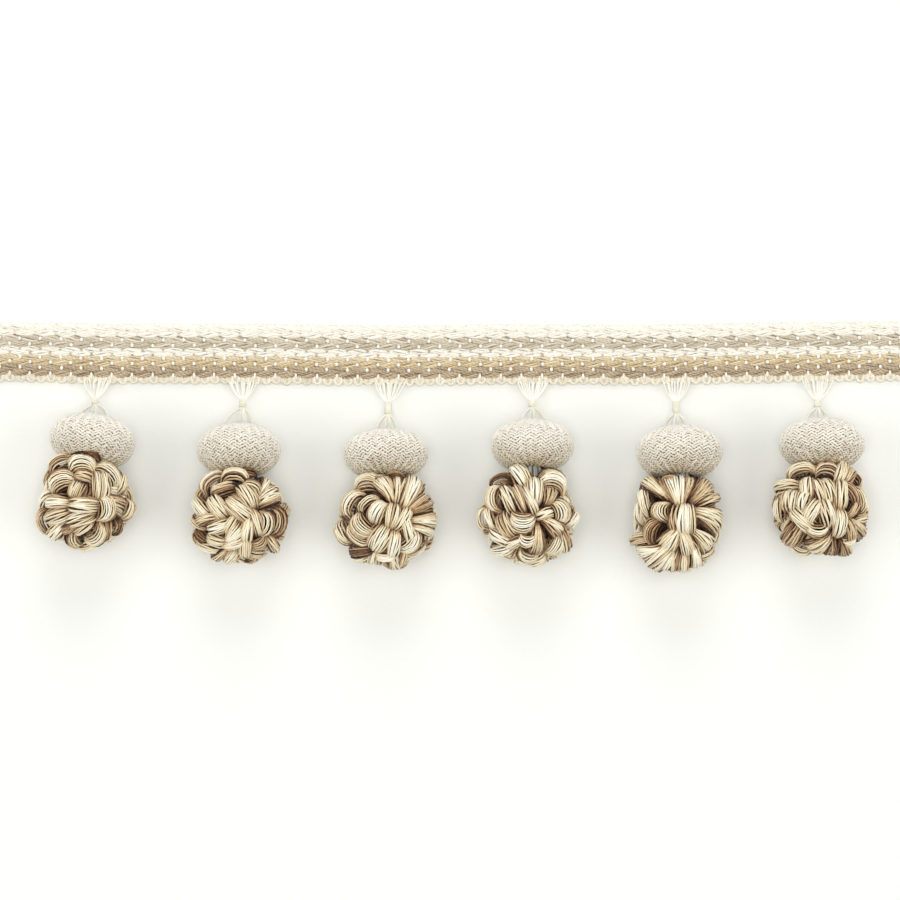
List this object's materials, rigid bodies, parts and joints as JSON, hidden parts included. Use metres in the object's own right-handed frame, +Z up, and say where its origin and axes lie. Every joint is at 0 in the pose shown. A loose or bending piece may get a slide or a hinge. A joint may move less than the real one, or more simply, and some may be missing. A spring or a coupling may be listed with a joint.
{
  "type": "ruche fringe trim",
  "caption": "Length of woven gimp heading with a scalloped picot edge, hung with thread-tied, braid-covered beads and looped ruche pompons.",
  "frame": {"origin": "on the surface that the trim lies on, under the centre of the whole trim's box", "axes": "+X along the heading, +Y from the drops towards the heading, +Z up from the surface"},
  "size_m": [0.32, 0.089, 0.0319],
  "materials": {
    "heading_weave": "matte weave banded in cream, greige, white, tan and taupe-brown",
    "silky_thread": "silky cream thread",
    "knot_thread": "silky ivory thread, wound",
    "braided_cover": "matte linen-coloured herringbone braid",
    "neck_thread": "silvery thread bundle",
    "pompon_yarn": "matte two-ply yarn in cream, beige and taupe-brown"
  },
  "bodies": {
    "root": {"heading": "heading_weave", "drop_1_fan": "silky_thread", "drop_1_knot": "knot_thread", "drop_1_cage": "silky_thread", "drop_1_bead": "braided_cover", "drop_1_neck": "neck_thread", "drop_1_pompon": "pompon_yarn", "drop_2_fan": "silky_thread", "drop_2_knot": "knot_thread", "drop_2_cage": "silky_thread", "drop_2_bead": "braided_cover", "drop_2_neck": "neck_thread", "drop_2_pompon": "pompon_yarn", "drop_3_fan": "silky_thread", "drop_3_knot": "knot_thread", "drop_3_cage": "silky_thread", "drop_3_bead": "braided_cover", "drop_3_neck": "neck_thread", "drop_3_pompon": "pompon_yarn", "drop_4_fan": "silky_thread", "drop_4_knot": "knot_thread", "drop_4_cage": "silky_thread", "drop_4_bead": "braided_cover", "drop_4_neck": "neck_thread", "drop_4_pompon": "pompon_yarn", "drop_5_fan": "silky_thread", "drop_5_knot": "knot_thread", "drop_5_cage": "silky_thread", "drop_5_bead": "braided_cover", "drop_5_neck": "neck_thread", "drop_5_pompon": "pompon_yarn", "drop_6_fan": "silky_thread", "drop_6_knot": "knot_thread", "drop_6_cage": "silky_thread", "drop_6_bead": "braided_cover", "drop_6_neck": "neck_thread", "drop_6_pompon": "pompon_yarn"}
  },
  "joints": []
}
